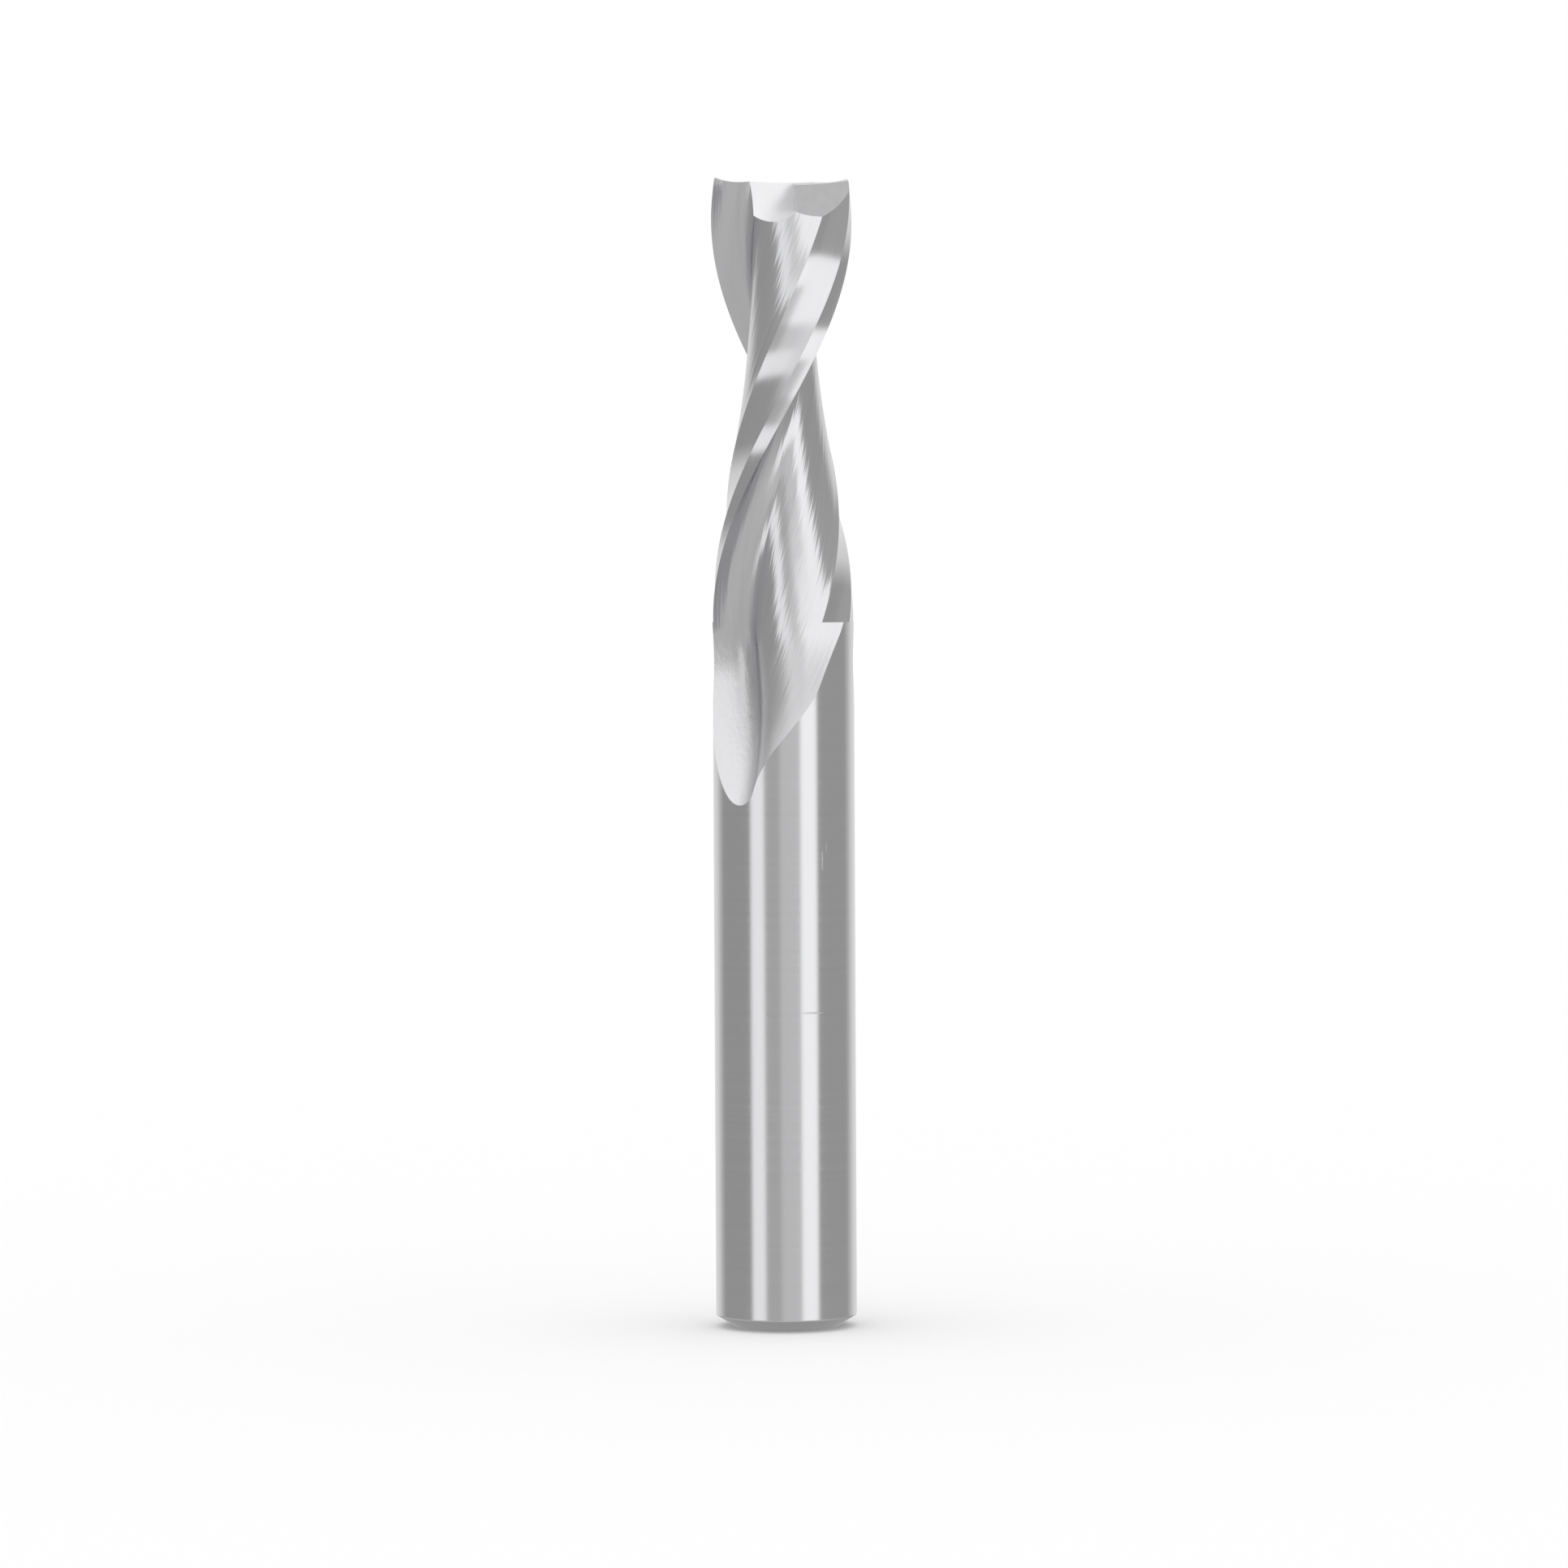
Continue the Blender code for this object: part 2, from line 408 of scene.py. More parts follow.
@dataclass(frozen=True)
class FluteSection:
    """What the flute wheel takes out: a hooked rake face, a tight floor and the tooth's round back.

    The back has two arcs. It turns more tightly on its way down to the floor than near the heel.
    The sizes are shares of the rod's radius.
    """

    rod: Rod
    rake_angle: float = radians(23.6)
    rake_share: float = 1.05
    floor_share: float = 0.378
    inner_share: float = 0.609
    inner_direction: float = radians(61)
    back_share: float = 0.802
    back_offset_share: float = 0.3465
    back_direction: float = radians(214.8)
    span: float = radians(150)

    @staticmethod
    def touching_circle(centre_a: Vector, reach_a: float, centre_b: Vector, reach_b: float) -> Vector:
        """The point at given distances from two centres, on the right of the line between them."""
        between = centre_b - centre_a
        along = (reach_a**2 - reach_b**2 + between.length_squared) / (2 * between.length)
        across = sqrt(reach_a**2 - along**2)
        unit = between.normalized()
        return centre_a + unit * along + Vector((unit.y, -unit.x)) * across

    def outline(self) -> list[Vector]:
        """The closed outline, with its outer side clear of the rod."""
        rake = self.rake_share * self.rod.radius
        floor_radius = self.floor_share * self.rod.radius
        inner = self.inner_share * self.rod.radius
        back = self.back_share * self.rod.radius
        edge = Vector((self.rod.radius, 0))
        rake_centre = edge + polar(rake, self.rake_angle + pi / 2)
        back_centre = polar(self.back_offset_share * self.rod.radius, self.back_direction)
        inner_centre = back_centre + polar(back - inner, self.inner_direction)
        floor_centre = self.touching_circle(
            inner_centre, inner + floor_radius, rake_centre, rake - floor_radius
        )
        rake_end = angle_of(floor_centre - rake_centre)
        inner_start = angle_of(floor_centre - inner_centre)
        rim = polar(self.rod.radius, self.span)
        to_rim = rim - back_centre
        back_end = angle_of(to_rim) - acos(back / to_rim.length)
        leaving = (to_rim - polar(back, back_end)).normalized()

        pen = Pen()
        pen.corner(edge + polar(self.rod.clear, self.rake_angle))
        pen.arc(rake_centre, rake, self.rake_angle - pi / 2, rake_end, Way.CLOCKWISE)
        pen.arc(floor_centre, floor_radius, rake_end, inner_start + pi, Way.CLOCKWISE)
        pen.arc(inner_centre, inner, inner_start, self.inner_direction, Way.COUNTER)
        pen.arc(back_centre, back, self.inner_direction, back_end, Way.COUNTER)
        pen.corner(rim + self.rod.clear * leaving)
        outside = self.rod.radius + 2 * self.rod.clear
        first, last = angle_of(pen.points[0]), angle_of(pen.points[-1])
        pen.arc(Vector((0, 0)), outside, last, first, Way.CLOCKWISE)
        return pen.outline()


@dataclass(frozen=True)
class ReliefSection:
    """What the relief wheels take off behind an edge: a narrow land, then a steeper flat heel."""

    rod: Rod
    edge_grind: float = 0.04 * MM
    land_width: float = 1.03 * MM
    land_relief: float = radians(13.5)
    heel_relief: float = radians(47)
    lead: float = 0.075 * MM
    pieces: int = 5

    def outline(self) -> list[Vector]:
        """The closed outline, with its outer side clear of the rod."""
        along_land = Vector((-sin(self.land_relief), -cos(self.land_relief)))
        along_heel = Vector((-sin(self.heel_relief), -cos(self.heel_relief)))
        edge = Vector((self.rod.radius - self.edge_grind, 0))
        land_end = edge + self.land_width * along_land
        heel_end = land_end + self.rod.radius * along_heel
        pen = Pen()
        pen.corner(edge - self.rod.clear * along_land)
        pen.line(edge - self.lead * along_land, 1)
        pen.line(land_end, self.pieces)
        pen.line(heel_end, 2 * self.pieces)
        outside = self.rod.radius + 2 * self.rod.clear
        pen.arc(Vector((0, 0)), outside, angle_of(heel_end), angle_of(pen.points[0]), Way.COUNTER)
        return pen.outline()


class HelicalGrind:
    """The path of a grinding wheel along the helix, as a Geometry Nodes tree.

    The tree draws an outline up the axis as a straight prism, turns and shifts each level as the
    helix and the lift say, and repeats the result once for each tooth.
    """

    LENGTHS = ("Low", "High", "Tip Height", "Lift Start", "Wheel Radius", "Twist Ease")
    ANGLES = ("Tip Turn", "Lift Direction", "Drift Angle")

    def __init__(self, helix: Helix, teeth: int) -> None:
        """Builds the tree for one helix and a number of teeth."""
        self.helix = helix
        self.teeth = teeth
        self.tree = bpy.data.node_groups.new("helical_grind", "GeometryNodeTree")
        self.sockets = self._interface()
        self._wire()

    def _interface(self) -> dict[str, str]:
        """Gives the tree its named inputs, and returns each one's identifier."""
        face = self.tree.interface
        face.new_socket("Geometry", in_out="OUTPUT", socket_type="NodeSocketGeometry")
        made = [face.new_socket("Outline", in_out="INPUT", socket_type="NodeSocketGeometry")]
        for name in (*self.LENGTHS, *self.ANGLES, "Helix Rate"):
            made.append(face.new_socket(name, in_out="INPUT", socket_type="NodeSocketFloat"))
        for name in ("Levels", "Teeth"):
            made.append(face.new_socket(name, in_out="INPUT", socket_type="NodeSocketInt"))
        made.append(face.new_socket("Finish", in_out="INPUT", socket_type="NodeSocketMaterial"))
        return {socket.name: socket.identifier for socket in made}

    def _wire(self) -> None:
        """Adds the tree's nodes."""
        nodes = Nodes(self.tree)
        entry = self.tree.nodes.new("NodeGroupInput")
        given = {socket.name: Value(nodes, socket) for socket in entry.outputs if socket.name}

        profile = nodes.node("GeometryNodeMeshToCurve", {}, {0: given["Outline"]})
        ends = {"Start": nodes.vector(0, 0, given["Low"]), "End": nodes.vector(0, 0, given["High"])}
        line = nodes.node("GeometryNodeCurvePrimitiveLine", {}, ends)
        path = nodes.node("GeometryNodeResampleCurve", {}, {"Curve": line, "Count": given["Levels"]})
        swept = {"Curve": path, "Profile Curve": profile, "Fill Caps": True}
        prism = nodes.node("GeometryNodeCurveToMesh", {}, swept)

        place = self._place(nodes, given)
        ground = nodes.node("GeometryNodeSetPosition", {}, {"Geometry": prism, "Position": place})

        spots = nodes.node("GeometryNodeMeshLine", {}, {"Count": given["Teeth"], "Offset": (0, 0, 0)})
        index = nodes.node("GeometryNodeInputIndex")
        turn = nodes.vector(0, 0, index * (2 * pi) / given["Teeth"])
        repeat = {"Points": spots, "Instance": ground, "Rotation": turn}
        teeth = nodes.node("GeometryNodeInstanceOnPoints", {}, repeat)
        whole = nodes.node("GeometryNodeRealizeInstances", {}, {0: teeth})
        dressed = {"Geometry": whole, "Material": given["Finish"]}
        finished = nodes.node("GeometryNodeSetMaterial", {}, dressed)
        nodes.feed(self.tree.nodes.new("NodeGroupOutput").inputs[0], finished)

    @staticmethod
    def _place(nodes: Nodes, given: dict[str, Value]) -> Value:
        """Where each point of the straight prism goes."""
        x, y, z = nodes.parts(nodes.node("GeometryNodeInputPosition"))
        below = (given["Lift Start"] - z).at_least(0)
        eased = below.at_most(given["Twist Ease"])
        held_back = below - eased + eased * eased / (given["Twist Ease"] * 2)
        turn = given["Tip Turn"] + given["Helix Rate"] * (z + held_back - given["Tip Height"])
        wheel = given["Wheel Radius"]
        lift = wheel - (wheel * wheel - below * below).root()
        drift = below * given["Drift Angle"].tangent()
        out_x = given["Lift Direction"].cosine()
        out_y = given["Lift Direction"].sine()
        shifted = nodes.vector(x + lift * out_x - drift * out_y, y + lift * out_y + drift * out_x, z)
        return nodes.turned_about_z(shifted, turn)

    def cutter(
        self, name: str, outline: list[Vector], low: float, high: float, finish: bpy.types.Material
    ) -> bpy.types.Object:
        """Grinds an outline along the helix.

        Args:
            name: The cutter's name.
            outline: The flat outline of what is taken out.
            low: The height that it starts at.
            high: The height that it ends at.
            finish: The material of the faces that it leaves.

        Returns:
            The cutter, as a plain mesh object.
        """
        mesh = bpy.data.meshes.new(f"{name}_outline")
        edges = [(i, (i + 1) % len(outline)) for i in range(len(outline))]
        mesh.from_pydata([point.to_3d() for point in outline], edges, [])
        obj = bpy.data.objects.new(name, mesh)
        bpy.context.scene.collection.objects.link(obj)
        modifier = obj.modifiers.new("helical_grind", "NODES")
        modifier.node_group = self.tree
        values = {
            "Low": low,
            "High": high,
            "Tip Height": self.helix.rod.length,
            "Lift Start": self.helix.lift_start(),
            "Wheel Radius": self.helix.wheel_radius,
            "Twist Ease": self.helix.twist_ease,
            "Tip Turn": self.helix.tip_turn,
            "Lift Direction": self.helix.lift_direction,
            "Drift Angle": self.helix.drift_angle,
            "Helix Rate": self.helix.rate(),
            "Levels": self.helix.levels(low, high),
            "Teeth": self.teeth,
            "Finish": finish,
        }
        for key, value in values.items():
            modifier[self.sockets[key]] = value
        return keep_evaluated(obj)


def keep_evaluated(obj: bpy.types.Object) -> bpy.types.Object:
    """Makes what an object's modifiers give its own plain mesh, and removes them."""
    bpy.context.view_layer.update()
    evaluated = obj.evaluated_get(bpy.context.evaluated_depsgraph_get())
    mesh = bpy.data.meshes.new_from_object(evaluated)
    obj.modifiers.clear()
    obj.data = mesh
    mesh.name = obj.name
    return obj


def loft(name: str, rings: list[list[Vector]], finish: bpy.types.Material) -> bpy.types.Object:
    """Joins rings of as many points each into a closed block.

    Args:
        name: The block's name.
        rings: The points of each ring, in order.
        finish: The material of its faces.

    Returns:
        The block, linked to the scene.
    """
    bm = bmesh.new()
    loops = [[bm.verts.new(point) for point in ring] for ring in rings]
    for lower, upper in zip(loops, loops[1:]):
        for i, corner in enumerate(lower):
            bm.faces.new((lower[i - 1], corner, upper[i], upper[i - 1]))
    bm.faces.new(loops[0])
    bm.faces.new(loops[-1])
    bmesh.ops.recalc_face_normals(bm, faces=bm.faces)
    mesh = bpy.data.meshes.new(name)
    bm.to_mesh(mesh)
    bm.free()
    mesh.materials.append(finish)
    obj = bpy.data.objects.new(name, mesh)
    bpy.context.scene.collection.objects.link(obj)
    return obj


@dataclass(frozen=True)
class EndGrind:
    """The dished end: a narrow and a steep relief behind each end edge, and a gash in front of it."""

    rod: Rod
    helix: Helix
    dish_depth: float = 0.35 * MM
    dish_steps: int = 24
    land_width: float = 0.8 * MM
    land_relief: float = radians(12)
    heel_relief: float = radians(40)
    overlap: float = 0.02 * MM
    web_thickness: float = 0.15 * MM
    gash_reach: float = 0.9 * MM
    gash_depth: float = 2.7 * MM
    gash_radius: float = 2.0 * MM
    gash_low_point: float = 1.6 * MM
    gash_opening: float = radians(16)

    def placed(self, obj: bpy.types.Object, turn: float) -> bpy.types.Object:
        """Moves a block from the tip's own frame to a tooth, with its place in its mesh."""
        lifted = Matrix.Translation((0, 0, self.rod.length))
        obj.data.transform(lifted @ Matrix.Rotation(self.helix.tip_turn + turn, 4, "Z"))
        return obj

    def dish(self, x: float) -> float:
        """Height of the end edge at a distance from the axis, from the tip down."""
        return self.dish_depth * ((x / self.rod.radius) ** 2 - 1)

    def relief(self, name: str, turn: float, finish: bpy.types.Material) -> bpy.types.Object:
        """What is ground off above a tooth's end edge, which dips to the centre by the dish.

        The block starts at the centre plane, a little past it so that no skin is left between the
        two, and its edge stands over the gash's wall.
        """
        reach = self.rod.radius + self.rod.clear
        edge = self.web_thickness / 2 + self.overlap
        land_drop = self.land_width * tan(self.land_relief)
        heel_width = reach + edge - self.land_width
        outline = (
            (reach, 2 * self.rod.clear),
            (reach, 0),
            (edge, 0),
            (edge - self.land_width, -land_drop),
            (-reach, -land_drop - heel_width * tan(self.heel_relief)),
            (-reach, 2 * self.rod.clear),
        )
        rings = []
        for i in range(self.dish_steps + 1):
            x = -self.overlap + (reach + self.overlap) * i / self.dish_steps
            rings.append([Vector((x, y, z + (self.dish(x) if z <= 0 else 0))) for y, z in outline])
        return self.placed(loft(name, rings, finish), turn)

    def gash(self, name: str, turn: float, finish: bpy.types.Material) -> bpy.types.Object:
        """The pocket in front of a tooth's end edge, with a round floor and a leaning side wall."""
        wall = self.web_thickness / 2
        deepest = self.dish(0) - self.gash_depth
        centre = Vector((self.gash_low_point - self.gash_reach, deepest + self.gash_radius))
        start = pi + acos(self.gash_low_point / self.gash_radius)
        pen = Pen()
        pen.arc(centre, self.gash_radius, start, 0, Way.COUNTER)
        ends = (Vector((pen.points[0].x, self.rod.clear)), Vector((pen.points[-1].x, self.rod.clear)))
        outline = [ends[0], *pen.points, ends[1]]
        rings = []
        for y in (wall, self.rod.radius + self.rod.clear):
            shift = (y - wall) * tan(self.gash_opening)
            rings.append([Vector((point.x + shift, y, point.y)) for point in outline])
        return self.placed(loft(name, rings, finish), turn)


@dataclass(frozen=True)
class Scratch:
    """A small scratch in the shank, deepest in its middle. Its turn is from the camera's side."""

    height: float
    turn: float
    half_height: float
    half_turn: float

    def depth(self, nodes: Nodes) -> Value:
        """How deep a point is in the scratch, from 0 outside it to 1 in its middle."""
        x, y, z = nodes.parts(nodes.place())
        along = (z - self.height) / self.half_height
        across = (x.angle_over(-y) - self.turn) / self.half_turn
        return (1 - along * along - across * across).at_least(0)


@dataclass(frozen=True)
class GroundFinish:
    """Bright ground carbide, with the fine marks and the coarser ridges of one wheel.

    Heights for the bump are in metres. Below rough_below the surface turns rougher over rough_run.
    """

    name: str
    lay: Lay
    colour: tuple[float, float, float] = (0.64, 0.64, 0.65)
    colour_spread: float = 0.04
    roughness: float = 0.16
    roughness_spread: float = 0.06
    mark_spacing: float = 0.05 * MM
    mark_length: float = 6 * MM
    mark_depth: float = 0.0004 * MM
    mark_detail: float = 2
    patch_scale: float = 0.12
    patch_detail: float = 3
    ridge_spacing: float = 0.24 * MM
    ridge_length: float = 3.2 * MM
    ridge_depth: float = 0.0006 * MM
    helix_rate: float = 0
    rough_below: float = 0
    rough_run: float = 2 * MM
    added_roughness: float = 0
    scratches: tuple[Scratch, ...] = ()
    scratch_roughness: float = 0.25
    scratch_depth: float = 0.003 * MM

    def along_the_lay(self, nodes: Nodes, spacing: float, length: float) -> Value:
        """Coordinates in spacings across the lay, and in lengths along it."""
        place = nodes.place()
        x, y, z = nodes.parts(place)
        fine, long = 1 / spacing, 1 / length
        if self.lay is Lay.ROUND_THE_AXIS:
            return nodes.vector(x * long, y * long, z * fine)
        if self.lay is Lay.ACROSS_THE_END:
            return nodes.vector(x * fine, y * fine, z * long)
        across, over, _ = nodes.parts(nodes.turned_about_z(place, z * -self.helix_rate))
        return nodes.vector(across * fine, over * fine, z * long)

    def material(self) -> bpy.types.Material:
        """The finish as a material."""
        material = bpy.data.materials.new(self.name)
        material.use_nodes = True
        nodes = Nodes(material.node_tree)
        lay = self.along_the_lay(nodes, self.mark_spacing, self.mark_length)
        coarse = self.along_the_lay(nodes, self.ridge_spacing, self.ridge_length)
        marks = self._noise(nodes, lay, 1, self.mark_detail)
        ridges = self._noise(nodes, coarse, 1, self.mark_detail)
        patches = self._noise(nodes, lay, self.patch_scale, self.patch_detail)
        rough = self.roughness + (patches - 0.5) * (2 * self.roughness_spread)
        rough = rough + self._run_out(nodes) * self.added_roughness
        height = marks * self.mark_depth + ridges * self.ridge_depth
        for scratch in self.scratches:
            depth = scratch.depth(nodes)
            rough = rough + depth * self.scratch_roughness
            height = height - depth * self.scratch_depth
        bump = {"Height": height, "Strength": 1, "Distance": 1}
        shader = material.node_tree.nodes["Principled BSDF"]
        nodes.feed(shader.inputs["Base Color"], self._tint(nodes, patches))
        nodes.feed(shader.inputs["Metallic"], 1)
        nodes.feed(shader.inputs["Roughness"], rough)
        nodes.feed(shader.inputs["Normal"], nodes.node("ShaderNodeBump", {}, bump))
        return material

    @staticmethod
    def _noise(nodes: Nodes, place: Value, scale: float, detail: float) -> Value:
        """Noise at a place, from 0 to 1."""
        return nodes.node("ShaderNodeTexNoise", {}, {"Vector": place, "Scale": scale, "Detail": detail})

    def _tint(self, nodes: Nodes, patches: Value) -> Value:
        """The metal's colour, a little darker or lighter from patch to patch."""
        shades = [[c * (1 + side * self.colour_spread) for c in self.colour] for side in (-1, 1)]
        mixed = nodes.node("ShaderNodeMix", {"data_type": "RGBA"}, {0: patches}, 2)
        for socket, shade in zip(mixed.socket.node.inputs[6:8], shades):
            nodes.feed(socket, (*shade, 1))
        return mixed

    def _run_out(self, nodes: Nodes) -> Value:
        """How far a point is into the rougher run-out, from 0 above it to 1 in it."""
        _, _, z = nodes.parts(nodes.place())
        return ((self.rough_below - z) / self.rough_run).at_least(0).at_most(1)


@dataclass
class SpiralBit:
    """The whole bit: the turned rod, and what each wheel takes out of it.

    A face counts as the rod's own skin where its normal rises by less than upright, and its
    corners lie on the rod's radius within rod_skin.
    """

    rod: Rod
    teeth: int = 2
    sharp_angle: float = radians(12)
    upright: float = 0.01
    rod_skin: float = 0.002 * MM

    def __post_init__(self) -> None:
        """Works out the helix and prepares the finishes."""
        self.helix = Helix(self.rod)
        rate = self.helix.rate()
        scratches = (
            Scratch(height=21.5 * MM, turn=radians(23), half_height=0.09 * MM, half_turn=radians(12)),
            Scratch(height=31.7 * MM, turn=radians(32), half_height=0.9 * MM, half_turn=radians(1)),
            Scratch(height=32.6 * MM, turn=radians(36), half_height=0.5 * MM, half_turn=radians(1.2)),
        )
        self.shank_finish = GroundFinish("shank_ground", Lay.ROUND_THE_AXIS, scratches=scratches)
        self.flute_finish = GroundFinish(
            "flute_ground",
            Lay.ALONG_THE_HELIX,
            colour_spread=0.07,
            roughness=0.2,
            mark_depth=0.002 * MM,
            ridge_length=5 * MM,
            ridge_depth=0.026 * MM,
            helix_rate=rate,
            rough_below=self.helix.lift_start(),
            added_roughness=0.16,
        )
        self.relief_finish = GroundFinish("relief_ground", Lay.ALONG_THE_HELIX, helix_rate=rate)
        self.end_finish = GroundFinish("end_ground", Lay.ACROSS_THE_END)
        # The gash's colour is lighter than the other ground faces: a painted highlight that stands in
        # for the bright reflection on the gash.
        self.gash_finish_with_painted_highlight = GroundFinish(
            "gash_ground_with_painted_highlight", Lay.ACROSS_THE_END, colour=(0.84, 0.84, 0.85), roughness=0.4
        )

    def cutters(self) -> list[bpy.types.Object]:
        """Every cutter, in the order that they are used: first the end's, then the long ones."""
        grind = HelicalGrind(self.helix, self.teeth)
        low = self.helix.level_past(self.helix.lift_end())
        top = self.helix.level_past(self.rod.length + self.rod.clear)
        flute = FluteSection(self.rod).outline()
        relief = ReliefSection(self.rod).outline()
        end = EndGrind(self.rod, self.helix)
        flute_skin = self.flute_finish.material()
        relief_skin = self.relief_finish.material()
        end_skin = self.end_finish.material()
        gash_skin_with_painted_highlight = self.gash_finish_with_painted_highlight.material()
        turns = [2 * pi * tooth / self.teeth for tooth in range(self.teeth)]
        made = [end.relief(f"end_relief_{i + 1}", turn, end_skin) for i, turn in enumerate(turns)]
        made += [end.gash(f"gash_{i + 1}", turn, gash_skin_with_painted_highlight) for i, turn in enumerate(turns)]
        made.append(grind.cutter("flutes", flute, low, top, flute_skin))
        made.append(grind.cutter("reliefs", relief, self.helix.relief_end(), top, relief_skin))
        return made

    def build(self) -> bpy.types.Object:
        """Grinds the bit and returns it as one plain mesh."""
        mesh = self.rod.mesh("spiral_bit")
        mesh.materials.append(self.shank_finish.material())
        bit = bpy.data.objects.new("spiral_bit", mesh)
        bpy.context.scene.collection.objects.link(bit)
        cutters = self.cutters()
        for cutter in cutters:
            cut = bit.modifiers.new(cutter.name, "BOOLEAN")
            cut.operation = "DIFFERENCE"
            cut.solver = "EXACT"
            cut.material_mode = "TRANSFER"
            cut.object = cutter
        keep_evaluated(bit)
        for cutter in cutters:
            bpy.data.objects.remove(cutter)
        self.smooth(bit.data)
        return bit

    def smooth(self, mesh: bpy.types.Mesh) -> None:
        """Shades the mesh smooth between its ground corners, with the rod's own faces truly round."""
        mesh.shade_smooth()
        mesh.set_sharp_from_angle(angle=self.sharp_angle)
        normals = [corner.vector.copy() for corner in mesh.corner_normals]
        for face in mesh.polygons:
            if abs(face.normal.z) > self.upright:
                continue
            points = [mesh.vertices[i].co for i in face.vertices]
            if any(abs(point.xy.length - self.rod.radius) > self.rod_skin for point in points):
                continue
            for loop, point in zip(face.loop_indices, points):
                normals[loop] = Vector((point.x, point.y, 0)).normalized()
        mesh.normals_split_custom_set(normals)


@dataclass(frozen=True)
class Panel:
    """An even field of light between two turns from the camera's side, in degrees to the right."""

    start: float
    end: float
    level: float

    def stops(self, brightest: float) -> list[tuple[float, float]]:
        """Its two edges as places and greys on a ramp that goes once round and up to the brightest."""
        edges = (radians(self.start), radians(self.end))
        return [(0.5 + edge / (2 * pi), self.level / brightest) for edge in edges]


@dataclass(frozen=True)
class Surround:
    """A sphere of grey and bright fields round the bit that only its reflections show.

    It has five rings of panels: under the bit, at its own height, above that, higher still, and
    overhead. The light runs evenly from each panel to the next, and from ring to ring over a fade.
    """

    radius: float = 1.2
    centre_height: float = 45 * MM
    segments: int = 64
    brightest: float = 1.5
    behind_left: Panel = Panel(-180, -142, 0.88)
    behind_right: Panel = Panel(142, 180, 0.88)
    floor_behind_left: Panel = Panel(-180, -150, 0.42)
    floor_behind_right: Panel = Panel(150, 180, 0.42)
    floor_left: Panel = Panel(-120, -25, 0.62)
    floor_right: Panel = Panel(0, 70, 0.66)
    side_left: Panel = Panel(-118, -60, 0.42)
    strip_left: Panel = Panel(-54, -36, 1.2)
    front_left: Panel = Panel(-30, -10, 0.55)
    front_right: Panel = Panel(-4, 24, 0.74)
    strip_right: Panel = Panel(29, 52, 1.35)
    side_right: Panel = Panel(58, 118, 0.44)
    upper_strip: Panel = Panel(-52, -35, 1.15)
    upper_left: Panel = Panel(-29, -12, 0.85)
    upper_right: Panel = Panel(-5, 53, 1.3)
    upper_side: Panel = Panel(58, 118, 0.5)
    high_left: Panel = Panel(-140, -14, 0.97)
    high_right: Panel = Panel(-2, 53, 1.3)
    overhead: Panel = Panel(-140, 105, 1.3)
    overhead_behind: Panel = Panel(130, 180, 0.7)
    low_fade: tuple[float, float] = (radians(-19), radians(-9))
    upper_fade: tuple[float, float] = (radians(9), radians(13))
    high_fade: tuple[float, float] = (radians(22), radians(32))
    overhead_fade: tuple[float, float] = (radians(40), radians(50))

    def build(self) -> bpy.types.Object:
        """The sphere, round the bit's middle."""
        bm = bmesh.new()
        segments = {"u_segments": self.segments, "v_segments": self.segments // 2}
        bmesh.ops.create_uvsphere(bm, radius=self.radius, **segments)
        mesh = bpy.data.meshes.new("surround")
        bm.to_mesh(mesh)
        bm.free()
        mesh.materials.append(self._material())
        obj = bpy.data.objects.new("surround", mesh)
        obj.location.z = self.centre_height
        return obj

    def _material(self) -> bpy.types.Material:
        """The fields of light, as one glowing material."""
        material = bpy.data.materials.new("surround")
        material.use_nodes = True
        tree = material.node_tree
        tree.nodes.clear()
        nodes = Nodes(tree)
        x, y, z = nodes.parts(nodes.place())
        turn = x.angle_over(-y)
        front = (self.front_left, self.front_right)
        middle = (self.side_left, self.strip_left, *front, self.strip_right, self.side_right)
        upper = (self.side_left, self.upper_strip, self.upper_left, self.upper_right, self.upper_side)
        high = (self.high_left, self.high_right, self.upper_side)
        rings = (
            (self.floor_behind_left, self.floor_left, self.floor_right, self.floor_behind_right),
            (self.behind_left, *middle, self.behind_right),
            (self.behind_left, *upper, self.behind_right),
            (self.behind_left, *high, self.behind_right),
            (self.overhead, self.overhead_behind),
        )
        fades = (self.low_fade, self.upper_fade, self.high_fade, self.overhead_fade)
        levels = [self._ring(nodes, turn, ring) for ring in rings]
        level = levels[0]
        for higher, fade in zip(levels[1:], fades):
            level = level + (higher - level) * self._fade(nodes, z, fade)
        light = nodes.node("ShaderNodeEmission", {}, {"Color": level, "Strength": 1})
        nodes.feed(tree.nodes.new("ShaderNodeOutputMaterial").inputs["Surface"], light)
        return material

    def _ring(self, nodes: Nodes, turn: Value, panels: tuple[Panel, ...]) -> Value:
        """The level of light round a ring of panels."""
        stops = [stop for panel in panels for stop in panel.stops(self.brightest)]
        place = 0.5 + turn / (2 * pi)
        return nodes.node("ShaderNodeValToRGB", {"stops": stops}, {0: place}) * self.brightest

    def _fade(self, nodes: Nodes, height: Value, fade: tuple[float, float]) -> Value:
        """A smooth step from 0 to 1 between two elevations."""
        low, high = (self.radius * sin(elevation) for elevation in fade)
        given = {"Value": height, "From Min": low, "From Max": high}
        return nodes.node("ShaderNodeMapRange", {"interpolation_type": "SMOOTHSTEP"}, given)


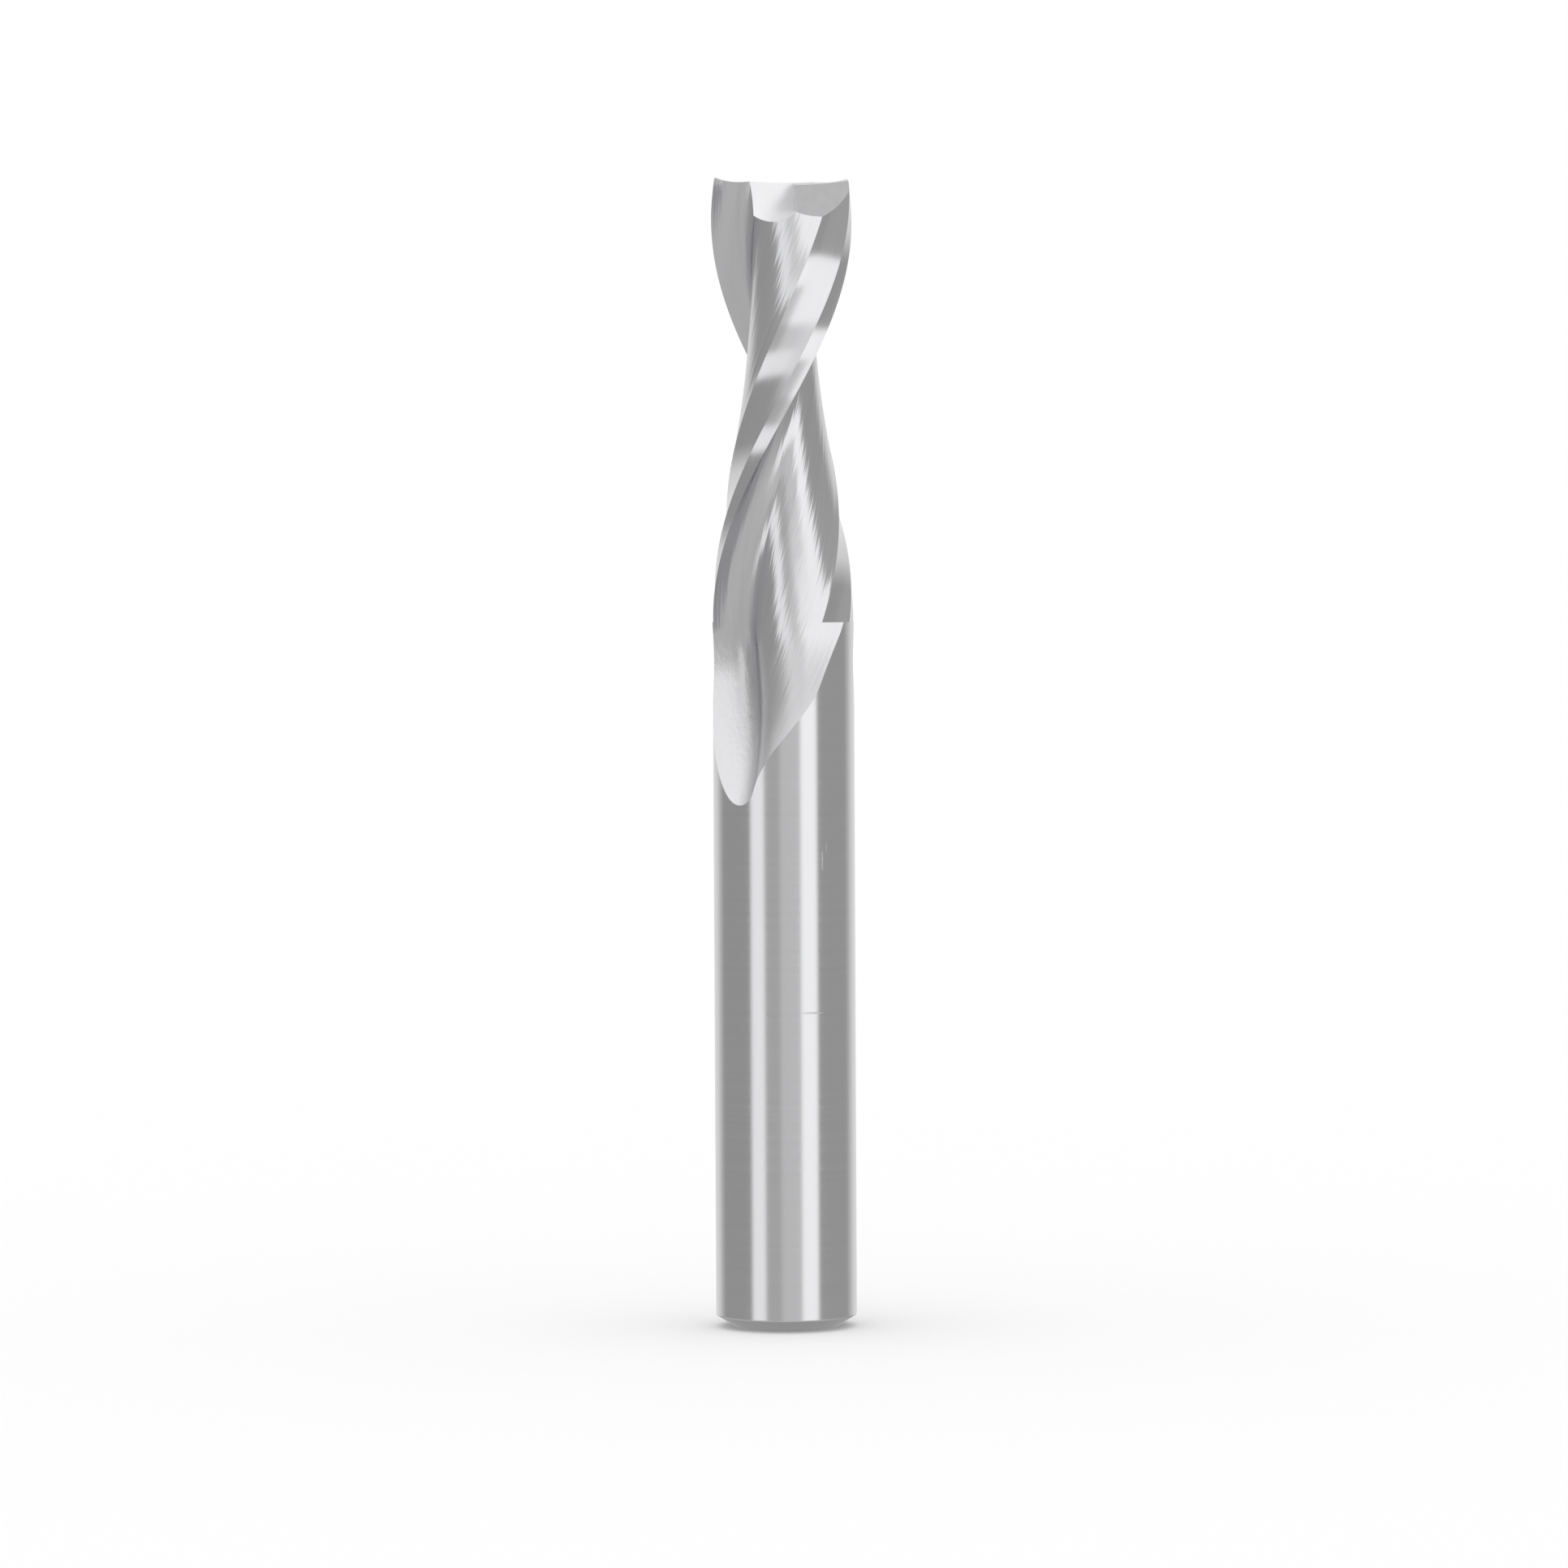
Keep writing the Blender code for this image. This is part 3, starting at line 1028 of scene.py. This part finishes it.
@dataclass(frozen=True)
class Studio:
    """A white studio: a pale floor, and a surround that shapes the reflections."""

    floor_size: float = 12.0
    floor_colour: tuple[float, float, float] = (0.95, 0.95, 0.95)
    light: float = 1.05
    surround: Surround = Surround()

    def build(self) -> None:
        """Adds the floor, the surround and the world."""
        ground = self._floor()
        surround = self.surround.build()
        self._hide(ground, Sees.REFLECTION)
        self._hide(surround, Sees.CAMERA, Sees.DIFFUSE, Sees.SHADOW)
        for obj in (ground, surround):
            bpy.context.scene.collection.objects.link(obj)
        self._world()

    @staticmethod
    def _hide(obj: bpy.types.Object, *kinds: Sees) -> None:
        """Hides a stage piece from some kinds of ray."""
        for kind in kinds:
            setattr(obj, kind.value, False)

    def _floor(self) -> bpy.types.Object:
        """The pale floor that the bit stands on."""
        half = self.floor_size / 2
        mesh = bpy.data.meshes.new("floor")
        corners = [(-half, -half, 0), (half, -half, 0), (half, half, 0), (-half, half, 0)]
        mesh.from_pydata(corners, [], [(0, 1, 2, 3)])
        material = bpy.data.materials.new("floor")
        material.use_nodes = True
        shader = material.node_tree.nodes["Principled BSDF"]
        shader.inputs["Base Color"].default_value = (*self.floor_colour, 1)
        shader.inputs["Roughness"].default_value = 1
        shader.inputs["Specular IOR Level"].default_value = 0
        mesh.materials.append(material)
        return bpy.data.objects.new("floor", mesh)

    def _world(self) -> None:
        """A white world: at its own strength where it is seen, and a little more as light."""
        world = bpy.data.worlds.new("studio")
        world.use_nodes = True
        tree = world.node_tree
        tree.nodes.clear()
        nodes = Nodes(tree)
        path = tree.nodes.new("ShaderNodeLightPath")
        kinds = ("Is Camera Ray", "Is Glossy Ray", "Is Transmission Ray")
        camera, glossy, through = [Value(nodes, path.outputs[kind]) for kind in kinds]
        seen = (camera + glossy + through).at_most(1)
        strength = self.light + (1 - self.light) * seen
        light = nodes.node("ShaderNodeBackground", {}, {"Color": (1, 1, 1, 1), "Strength": strength})
        nodes.feed(tree.nodes.new("ShaderNodeOutputWorld").inputs["Surface"], light)
        bpy.context.scene.world = world


@dataclass(frozen=True)
class PhotoCamera:
    """The photograph's camera: a long lens level with the bit's upper half, turned down a little.

    A pixel is the width at the bit's axis that one pixel of the photograph covers.
    """

    distance: float = 0.475
    eye_height: float = 57 * MM
    pitch: float = radians(2.45)
    roll: float = radians(-0.28)
    pixels_across: int = 1932
    pixel: float = 0.0547 * MM
    sensor: float = 36

    def build(self) -> None:
        """Adds the camera and makes it the scene's."""
        data = bpy.data.cameras.new("camera")
        data.sensor_width = self.sensor
        data.sensor_fit = "HORIZONTAL"
        data.lens = self.sensor * self.distance / (self.pixels_across * self.pixel)
        obj = bpy.data.objects.new("camera", data)
        bpy.context.scene.collection.objects.link(obj)
        eye = Vector((0, -self.distance, self.eye_height))
        aim = Vector((0, 0, self.eye_height - self.distance * tan(self.pitch)))
        look = (aim - eye).to_track_quat("-Z", "Y").to_matrix().to_4x4()
        obj.matrix_world = Matrix.Translation(eye) @ look @ Matrix.Rotation(self.roll, 4, "Z")
        bpy.context.scene.camera = obj


def main() -> None:
    """Builds the bit and the studio, and logs how many faces the bit has."""
    logging.basicConfig(level=logging.INFO, format="%(name)s: %(message)s")
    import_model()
    bpy.context.scene.view_settings.view_transform = "Standard"

    bit = SpiralBit(Rod.from_frame()).build()
    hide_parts(NODE)
    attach(bit, BODY)
    LOG.info("%s: %d faces", bit.name, len(bit.data.polygons))

    Studio().build()
    PhotoCamera().build()


if __name__ == "__main__":
    main()
